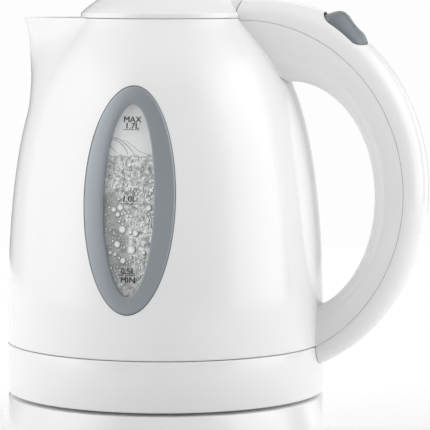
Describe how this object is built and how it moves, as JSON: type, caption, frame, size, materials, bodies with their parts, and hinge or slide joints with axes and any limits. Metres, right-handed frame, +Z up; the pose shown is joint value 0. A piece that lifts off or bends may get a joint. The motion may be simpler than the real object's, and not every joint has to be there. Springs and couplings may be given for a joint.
{
  "type": "electric kettle",
  "caption": "Cordless jug kettle: white plastic body with spout, oval water window, loop handle with rocker switch and hinged domed lid, on a round power base.",
  "frame": {"origin": "centre of the bounding box at table height; the jug's axis is 24.35 mm towards -X from it", "axes": "+Z up, -X towards the spout, +X towards the handle, Y across"},
  "size_m": [0.2119, 0.1628, 0.2255],
  "materials": {
    "white_plastic": "glossy moulded polypropylene, white",
    "grey_plastic": "satin moulded plastic, slate grey",
    "clear_plastic": "clear moulded plastic",
    "filter_plastic": "translucent white moulded grille",
    "steel": "stainless steel",
    "aluminium": "dull plate",
    "brass": "contact metal",
    "silicone": "translucent silicone",
    "rubber_feet": "matt soft rubber",
    "black_plastic": "glass-filled nylon, black"
  },
  "bodies": {
    "power_base": {"base_cover": "white_plastic", "base_bottom_plate": "white_plastic", "base_socket_tower": "black_plastic", "cord_gland": "grey_plastic", "base_foot_1": "rubber_feet", "base_foot_2": "rubber_feet", "base_foot_3": "rubber_feet", "base_foot_4": "rubber_feet", "base_screw_1": "steel", "base_screw_2": "steel", "base_screw_3": "steel"},
    "swivel": {"swivel_collar": "grey_plastic"},
    "jug": {"body_shell": "white_plastic", "handle_grip": "white_plastic", "handle_cover": "white_plastic", "bottom_housing": "white_plastic", "front_window_bezel": "grey_plastic", "front_window_lens": "clear_plastic", "rear_window_bezel": "grey_plastic", "rear_window_lens": "clear_plastic", "spout_filter": "filter_plastic", "heating_plate": "steel", "plate_seal": "silicone", "plate_clamp_ring": "steel", "heat_diffuser": "aluminium", "heating_element": "steel", "thermostat_control": "black_plastic", "appliance_inlet": "black_plastic", "inlet_pin": "brass", "inlet_ring": "brass", "housing_screw_1": "steel", "housing_screw_2": "steel", "housing_screw_3": "steel", "lid_hinge_pin": "steel", "steam_duct": "silicone", "steam_bimetal": "steel", "switch_body": "black_plastic", "rocker_pin": "steel"},
    "rocker": {"rocker_switch": "grey_plastic", "indicator_lens": "clear_plastic"},
    "lid": {"lid_shell": "white_plastic", "lid_liner": "white_plastic", "button_spring": "steel"},
    "button": {"lid_button": "white_plastic"},
    "latch": {"lid_latch": "white_plastic"}
  },
  "joints": [
    {"name": "base_swivel", "type": "hinge", "parent": "power_base", "child": "swivel", "pos_m": [-0.02435, 0, 0.021], "axis": [0, 0, 1], "continuous": true},
    {"name": "jug_lift", "type": "slide", "parent": "swivel", "child": "jug", "axis": [0, 0, 1], "range_m": [0, 0.06]},
    {"name": "lid_hinge", "type": "hinge", "parent": "jug", "child": "lid", "pos_m": [0.02015, 0, 0.2095], "axis": [0, 1, 0], "range_deg": [0, 80]},
    {"name": "button_press", "type": "slide", "parent": "lid", "child": "button", "axis": [0, 0, -1], "range_m": [0, 0.0032], "stiffness_N_per_m": 300, "springref_m": -0.002, "deforming": ["button_spring"]},
    {"name": "latch_slide", "type": "slide", "parent": "lid", "child": "latch", "axis": [1, 0, 0], "range_m": [0, 0.0038]},
    {"name": "rocker_rock", "type": "hinge", "parent": "jug", "child": "rocker", "pos_m": [0.06405, 0, 0.19907], "axis": [0, -1, 0], "range_deg": [0, 8]}
  ],
  "couplings": [
    {"joint": "latch_slide", "follows": "button_press", "ratio": 1.15}
  ]
}
